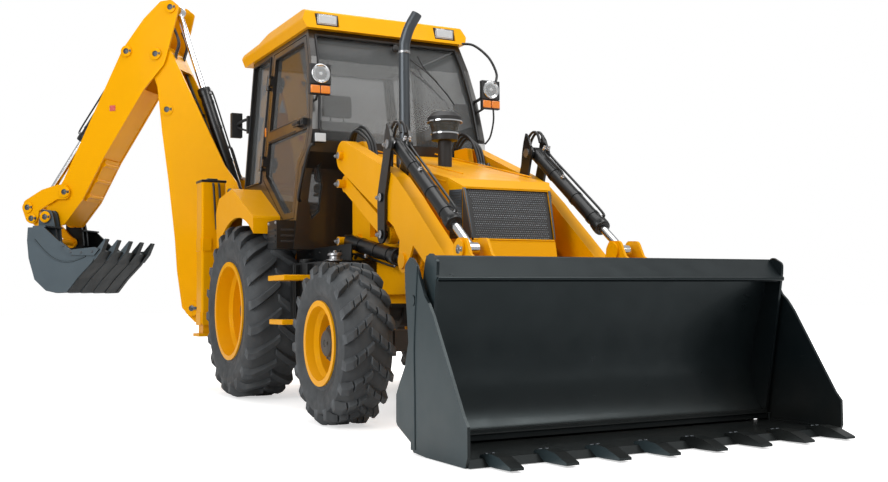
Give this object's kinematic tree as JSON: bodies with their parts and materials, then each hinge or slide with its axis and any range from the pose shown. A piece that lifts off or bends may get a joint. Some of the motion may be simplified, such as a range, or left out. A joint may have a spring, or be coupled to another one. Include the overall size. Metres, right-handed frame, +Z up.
{
  "type": "backhoe loader",
  "caption": "Yellow backhoe loader with a glazed cab, front loader with a clam bucket, side-shift rear digging arm, stabiliser legs and steered front wheels.",
  "frame": {"origin": "on the ground, under the middle of the whole machine's box", "axes": "+X points forward along the machine, +Y to the operator's left, +Z up"},
  "size_m": [7.2146, 3.437, 3.5489],
  "materials": {
    "yellow_paint": "gloss golden yellow paint",
    "black_paint": "satin black paint",
    "bucket_black": "dark grey-black paint, slightly worn",
    "hoe_grey": "worn dark grey-black paint",
    "chromed_rod": "polished chrome",
    "pin_steel": "turned steel",
    "tyre_rubber": "matt charcoal rubber",
    "tinted_glass": "grey tinted glass",
    "black_plastic": "matt black moulding",
    "seat_cover": "dark woven cover",
    "lamp_lens": "lamp bodies and lenses",
    "cast_iron": "dark painted castings"
  },
  "bodies": {
    "machine": {"chassis": "yellow_paint", "front_axle": "cast_iron", "rear_axle": "cast_iron", "engine_block": "cast_iron", "tank_and_steps": "black_paint", "slotted_box": "black_paint", "cab_frame": "black_paint", "cab_roof": "yellow_paint", "cab_glass": "tinted_glass", "fenders": "yellow_paint", "steering_console": "black_plastic", "lamps": "lamp_lens", "rear_frame": "yellow_paint"},
    "seat": {"operator_seat": "seat_cover"},
    "hood_body": {"hood": "yellow_paint", "front_grille": "black_paint", "exhaust_stack": "black_paint", "air_precleaner": "black_plastic"},
    "steering_link": {"steering_rod": "chromed_rod"},
    "right_hub": {"right_knuckle": "cast_iron"},
    "left_hub": {"left_knuckle": "cast_iron"},
    "front_right_wheel": {"front_right_rim": "yellow_paint", "front_right_tyre": "tyre_rubber"},
    "front_left_wheel": {"front_left_rim": "yellow_paint", "front_left_tyre": "tyre_rubber"},
    "rear_right_wheel": {"rear_right_rim": "yellow_paint", "rear_right_tyre": "tyre_rubber"},
    "rear_left_wheel": {"rear_left_rim": "yellow_paint", "rear_left_tyre": "tyre_rubber"},
    "door_right": {"right_door": "black_paint", "right_door_glass": "tinted_glass"},
    "door_left": {"left_door": "black_paint", "left_door_glass": "tinted_glass"},
    "arms": {"loader_arms": "yellow_paint"},
    "links": {"level_links": "yellow_paint"},
    "rockers": {"rocker_levers": "black_paint"},
    "ram_pins": {"crowd_ram_pins": "pin_steel"},
    "crowd_barrels": {"crowd_ram_barrels": "black_paint"},
    "crowd_rods": {"crowd_ram_rods": "chromed_rod"},
    "lift_barrels": {"lift_ram_barrels": "black_paint"},
    "lift_rods": {"lift_ram_rods": "chromed_rod"},
    "hinge_pins": {"bucket_pins": "pin_steel"},
    "loader_bucket": {"bucket_back": "bucket_black", "hitch_frame": "yellow_paint"},
    "clam": {"bucket_clam": "bucket_black"},
    "shift_carriage": {"carriage": "yellow_paint"},
    "slew_post": {"kingpost": "yellow_paint"},
    "boom_arm": {"boom": "yellow_paint"},
    "boom_barrel": {"boom_ram_barrel": "black_paint"},
    "boom_rod": {"boom_ram_rod": "chromed_rod"},
    "dipper_arm": {"dipper": "yellow_paint"},
    "dipper_barrel": {"dipper_ram_barrel": "black_paint"},
    "dipper_rod": {"dipper_ram_rod": "chromed_rod"},
    "bucket_barrel": {"bucket_ram_barrel": "black_paint"},
    "bucket_rod": {"bucket_ram_rod": "chromed_rod"},
    "lever": {"tip_lever": "yellow_paint"},
    "link": {"bucket_link": "yellow_paint"},
    "digging_bucket": {"hoe_bucket": "hoe_grey"},
    "right_leg": {"right_stabiliser_leg": "yellow_paint"},
    "left_leg": {"left_stabiliser_leg": "yellow_paint"}
  },
  "joints": [
    {"name": "seat_swivel", "type": "hinge", "parent": "machine", "child": "seat", "pos_m": [-0.71269, 0.56551, 1.5], "axis": [0, 0, 1], "range_deg": [0, 180]},
    {"name": "hood_tilt", "type": "hinge", "parent": "machine", "child": "hood_body", "pos_m": [1.91731, 0.56551, 1.012], "axis": [0, -1, 0], "range_deg": [-50, 0]},
    {"name": "steer_right", "type": "hinge", "parent": "machine", "child": "right_hub", "pos_m": [1.52731, -0.1765, 0.488], "axis": [0, 0, 1], "range_deg": [-35, 35]},
    {"name": "steer_left", "type": "hinge", "parent": "machine", "child": "left_hub", "pos_m": [1.52731, 1.3075, 0.488], "axis": [0, 0, 1], "range_deg": [-35, 35]},
    {"name": "steering_rod_slide", "type": "slide", "parent": "machine", "child": "steering_link", "axis": [0, -1, 0], "range_m": [-0.09213, 0.09213]},
    {"name": "front_right_spin", "type": "hinge", "parent": "right_hub", "child": "front_right_wheel", "pos_m": [1.52731, -0.40249, 0.488], "axis": [0, 1, 0], "continuous": true},
    {"name": "rear_right_spin", "type": "hinge", "parent": "machine", "child": "rear_right_wheel", "pos_m": [-0.64269, -0.27649, 0.67], "axis": [0, 1, 0], "continuous": true},
    {"name": "front_left_spin", "type": "hinge", "parent": "left_hub", "child": "front_left_wheel", "pos_m": [1.52731, 1.5335, 0.488], "axis": [0, 1, 0], "continuous": true},
    {"name": "rear_left_spin", "type": "hinge", "parent": "machine", "child": "rear_left_wheel", "pos_m": [-0.64269, 1.40751, 0.67], "axis": [0, 1, 0], "continuous": true},
    {"name": "right_door_hinge", "type": "hinge", "parent": "machine", "child": "door_right", "pos_m": [-0.71869, -0.15449, 2.18], "axis": [0, -0.0896, -0.996], "range_deg": [0, 75]},
    {"name": "left_door_hinge", "type": "hinge", "parent": "machine", "child": "door_left", "pos_m": [-0.71869, 1.2855, 2.18], "axis": [0, -0.0896, 0.996], "range_deg": [0, 75]},
    {"name": "loader_lift", "type": "hinge", "parent": "machine", "child": "arms", "pos_m": [0.55731, 0.56551, 1.765], "axis": [0, -1, 0], "range_deg": [0, 75]},
    {"name": "level_link_turn", "type": "hinge", "parent": "machine", "child": "links", "pos_m": [0.55731, 0.56551, 1.566], "axis": [0, -1, 0], "range_deg": [0, 72.81]},
    {"name": "rocker_level", "type": "hinge", "parent": "arms", "child": "rockers", "pos_m": [1.27731, 0.56551, 1.405], "axis": [0, -1, 0], "range_deg": [-60.01, 0]},
    {"name": "ram_pin_turn", "type": "hinge", "parent": "rockers", "child": "ram_pins", "pos_m": [1.39231, 0.56551, 1.735], "axis": [0, -1, 0], "range_deg": [0, 60.01]},
    {"name": "crowd_barrel_turn", "type": "hinge", "parent": "ram_pins", "child": "crowd_barrels", "pos_m": [1.39231, 0.56551, 1.735], "axis": [0, -1, 0], "range_deg": [-2.06, 2.65]},
    {"name": "crowd_rod_slide", "type": "slide", "parent": "crowd_barrels", "child": "crowd_rods", "axis": [0.8035, 0, -0.5953], "range_m": [-0.19209, 0.24683]},
    {"name": "lift_barrel_turn", "type": "hinge", "parent": "machine", "child": "lift_barrels", "pos_m": [0.55731, 0.56551, 1.16], "axis": [0, -1, 0], "range_deg": [0, 63.46]},
    {"name": "lift_rod_slide", "type": "slide", "parent": "lift_barrels", "child": "lift_rods", "axis": [0.985, 0, -0.1724], "range_m": [0, 0.68793]},
    {"name": "bucket_level", "type": "hinge", "parent": "arms", "child": "hinge_pins", "pos_m": [2.24231, 0.56551, 0.69], "axis": [0, -1, 0], "range_deg": [-60.01, 0]},
    {"name": "bucket_crowd", "type": "hinge", "parent": "hinge_pins", "child": "loader_bucket", "pos_m": [2.24231, 0.56551, 0.69], "axis": [0, -1, 0], "range_deg": [-45, 35]},
    {"name": "clam_open", "type": "hinge", "parent": "loader_bucket", "child": "clam", "pos_m": [2.89631, 0.56551, 0.739], "axis": [0, -1, 0], "range_deg": [0, 75]},
    {"name": "side_shift", "type": "slide", "parent": "machine", "child": "shift_carriage", "axis": [0, 1, 0], "range_m": [0, 1.24]},
    {"name": "swing", "type": "hinge", "parent": "shift_carriage", "child": "slew_post", "pos_m": [-2.11269, -0.0545, 0.7], "axis": [0, 0, 1], "range_deg": [-140, 40]},
    {"name": "boom_lower", "type": "hinge", "parent": "slew_post", "child": "boom_arm", "pos_m": [-2.30038, -0.27818, 0.686], "axis": [0.766, -0.6428, 0], "range_deg": [0, 105]},
    {"name": "boom_barrel_turn", "type": "hinge", "parent": "slew_post", "child": "boom_barrel", "pos_m": [-2.24124, -0.2077, 1.06], "axis": [0.766, -0.6428, 0], "range_deg": [0, 107.98]},
    {"name": "boom_rod_slide", "type": "slide", "parent": "boom_barrel", "child": "boom_rod", "axis": [-0.1488, -0.1773, 0.9728], "range_m": [0, 0.6046]},
    {"name": "dipper_out", "type": "hinge", "parent": "boom_arm", "child": "dipper_arm", "pos_m": [-2.53243, -0.55472, 3.048], "axis": [-0.766, 0.6428, 0], "range_deg": [0, 105]},
    {"name": "dipper_barrel_turn", "type": "hinge", "parent": "boom_arm", "child": "dipper_barrel", "pos_m": [-2.05933, 0.00909, 1.745], "axis": [-0.766, 0.6428, 0], "range_deg": [-0.0459, 0]},
    {"name": "dipper_rod_slide", "type": "slide", "parent": "dipper_barrel", "child": "dipper_rod", "axis": [-0.2072, -0.2469, 0.9466], "range_m": [-0.72104, 0]},
    {"name": "bucket_dump", "type": "hinge", "parent": "dipper_arm", "child": "digging_bucket", "pos_m": [-3.20671, -1.3583, 1.547], "axis": [-0.766, 0.6428, 0], "range_deg": [0, 140]},
    {"name": "lever_turn", "type": "hinge", "parent": "dipper_arm", "child": "lever", "pos_m": [-3.11801, -1.25259, 1.785], "axis": [-0.766, 0.6428, 0], "range_deg": [0, 66.77]},
    {"name": "link_turn", "type": "hinge", "parent": "lever", "child": "link", "pos_m": [-3.3372, -1.51381, 1.545], "axis": [-0.766, 0.6428, 0], "range_deg": [-38.53, 0]},
    {"name": "bucket_barrel_turn", "type": "hinge", "parent": "dipper_arm", "child": "bucket_barrel", "pos_m": [-2.72269, -0.78147, 3.089], "axis": [-0.766, 0.6428, 0], "range_deg": [0, 6.78]},
    {"name": "bucket_rod_slide", "type": "slide", "parent": "bucket_barrel", "child": "bucket_rod", "axis": [-0.3661, -0.4363, -0.822], "range_m": [-0.40792, 0]},
    {"name": "right_leg_down", "type": "slide", "parent": "machine", "child": "right_leg", "axis": [0, 0, -1], "range_m": [0, 0.5]},
    {"name": "left_leg_down", "type": "slide", "parent": "machine", "child": "left_leg", "axis": [0, 0, -1], "range_m": [0, 0.5]}
  ],
  "couplings": [
    {"joint": "steer_left", "follows": "steer_right", "ratio": 1},
    {"joint": "steering_rod_slide", "follows": "steer_right", "m_per_rad": 0.15},
    {"joint": "level_link_turn", "follows": "loader_lift", "ratio": 0.97069},
    {"joint": "rocker_level", "follows": "loader_lift", "ratio": -0.8},
    {"joint": "ram_pin_turn", "follows": "loader_lift", "ratio": 0.8},
    {"joint": "crowd_barrel_turn", "follows": "bucket_crowd", "ratio": -0.058633},
    {"joint": "crowd_rod_slide", "follows": "bucket_crowd", "m_per_rad": -0.31363},
    {"joint": "lift_barrel_turn", "follows": "loader_lift", "ratio": 0.84597},
    {"joint": "lift_rod_slide", "follows": "loader_lift", "m_per_rad": 0.52515},
    {"joint": "bucket_level", "follows": "loader_lift", "ratio": -0.8},
    {"joint": "boom_barrel_turn", "follows": "boom_lower", "ratio": 1.0282},
    {"joint": "boom_rod_slide", "follows": "boom_lower", "m_per_rad": 0.32964},
    {"joint": "dipper_barrel_turn", "follows": "dipper_out", "ratio": -0.000342},
    {"joint": "dipper_rod_slide", "follows": "dipper_out", "m_per_rad": -0.39318},
    {"joint": "lever_turn", "follows": "bucket_dump", "ratio": 0.47687},
    {"joint": "link_turn", "follows": "bucket_dump", "ratio": -0.27512},
    {"joint": "bucket_barrel_turn", "follows": "bucket_dump", "ratio": 0.048346},
    {"joint": "bucket_rod_slide", "follows": "bucket_dump", "m_per_rad": -0.16674}
  ]
}
